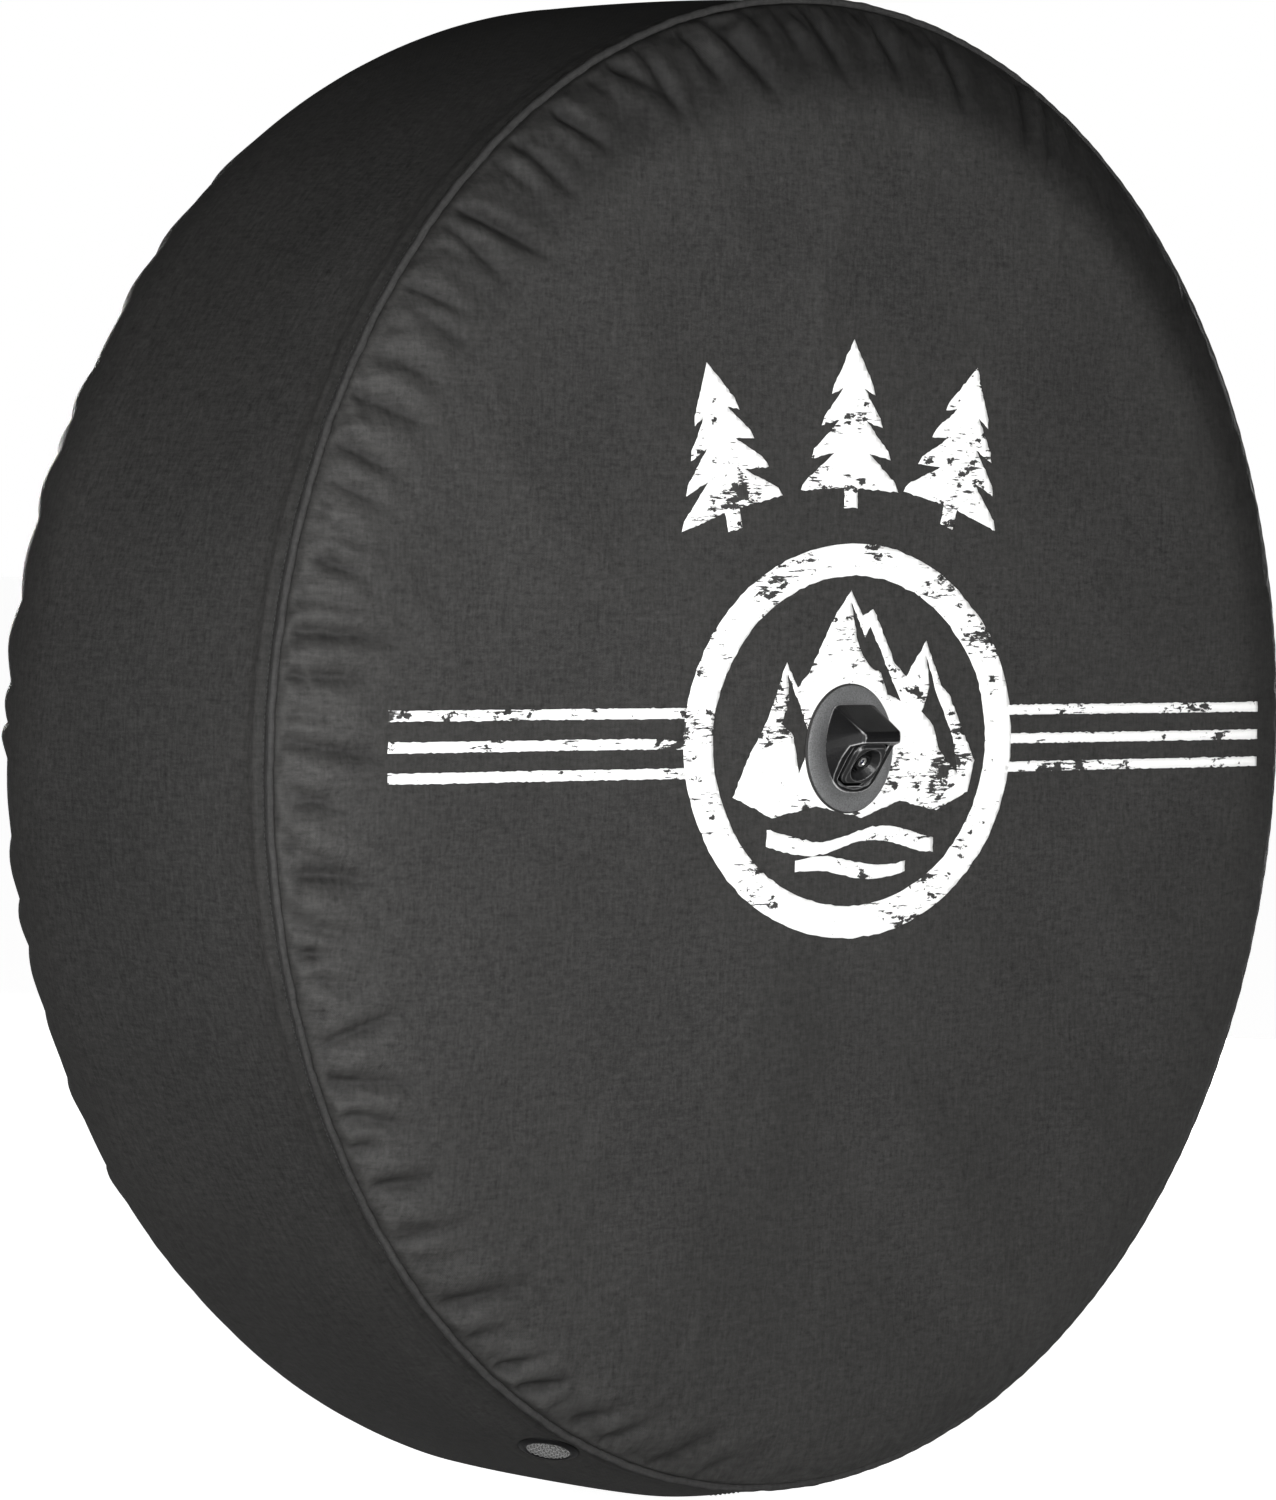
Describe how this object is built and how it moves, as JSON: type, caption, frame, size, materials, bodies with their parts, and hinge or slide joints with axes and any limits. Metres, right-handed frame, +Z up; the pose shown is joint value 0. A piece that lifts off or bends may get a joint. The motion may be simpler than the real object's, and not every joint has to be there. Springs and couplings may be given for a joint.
{
  "type": "spare tire cover",
  "caption": "Round fabric cover that pulls over a spare tire, with an elastic rear hem, a piped front seam, a drain eyelet and a camera pod that looks out through its face",
  "frame": {"origin": "centre of the tire that the cover sits on", "axes": "+Z up, the printed face looks towards -Y and the open rear towards +Y, +X to the right of a viewer who faces the print"},
  "size_m": [0.8392, 0.3067, 0.8482],
  "materials": {
    "canvas": "faded black slub canvas, matte",
    "bias_tape": "black bias-cut tape, matte",
    "elastic": "braided black cord",
    "rubber": "soft black rubber",
    "grey_plastic": "mid-grey satin plastic",
    "dark_plastic": "black satin plastic",
    "steel": "bright steel",
    "black_metal": "black coated metal",
    "screen_mesh": "pale woven screen",
    "lens_glass": "coated lens glass",
    "circuit_board": "green solder mask",
    "gold": "gold-plated contact",
    "print_ink": "white screen print, worn"
  },
  "bodies": {
    "cover": {"face_panel": "canvas", "side_band": "canvas", "band_join_strip": "bias_tape", "piping_sleeve": "bias_tape", "piping_core": "elastic", "inner_seam_tape": "bias_tape", "rear_hem": "canvas", "elastic_cord": "elastic", "elastic_crimp": "steel", "port_binding": "bias_tape", "drain_eyelet": "black_metal", "drain_washer": "black_metal", "drain_mesh": "screen_mesh", "port_gasket": "rubber", "camera_bezel": "grey_plastic", "camera_hood": "dark_plastic", "retaining_ring": "dark_plastic", "camera_body": "dark_plastic", "rear_seal": "rubber", "mount_plate": "black_metal", "clamp_screw_1": "steel", "clamp_screw_2": "steel", "clamp_screw_3": "steel", "clamp_screw_4": "steel", "body_screw_1": "steel", "body_screw_2": "steel", "body_screw_3": "steel", "body_screw_4": "steel", "main_board": "circuit_board", "cable_socket": "dark_plastic", "socket_pin_1": "gold", "socket_pin_2": "gold", "socket_pin_3": "gold", "socket_pin_4": "gold"},
    "camera_module": {"lens_block": "dark_plastic", "lens_trim_ring": "steel", "lens_barrel": "dark_plastic", "lens_retainer": "steel", "lens_glass": "lens_glass", "image_sensor": "dark_plastic", "sensor_board": "circuit_board", "trunnion_pin_left": "steel", "trunnion_pin_right": "steel"}
  },
  "joints": [
    {"name": "camera_tilt", "type": "hinge", "parent": "cover", "child": "camera_module", "pos_m": [0, -0.1415, -0.0055], "axis": [1, 0, 0], "range_deg": [-10, 10]}
  ]
}
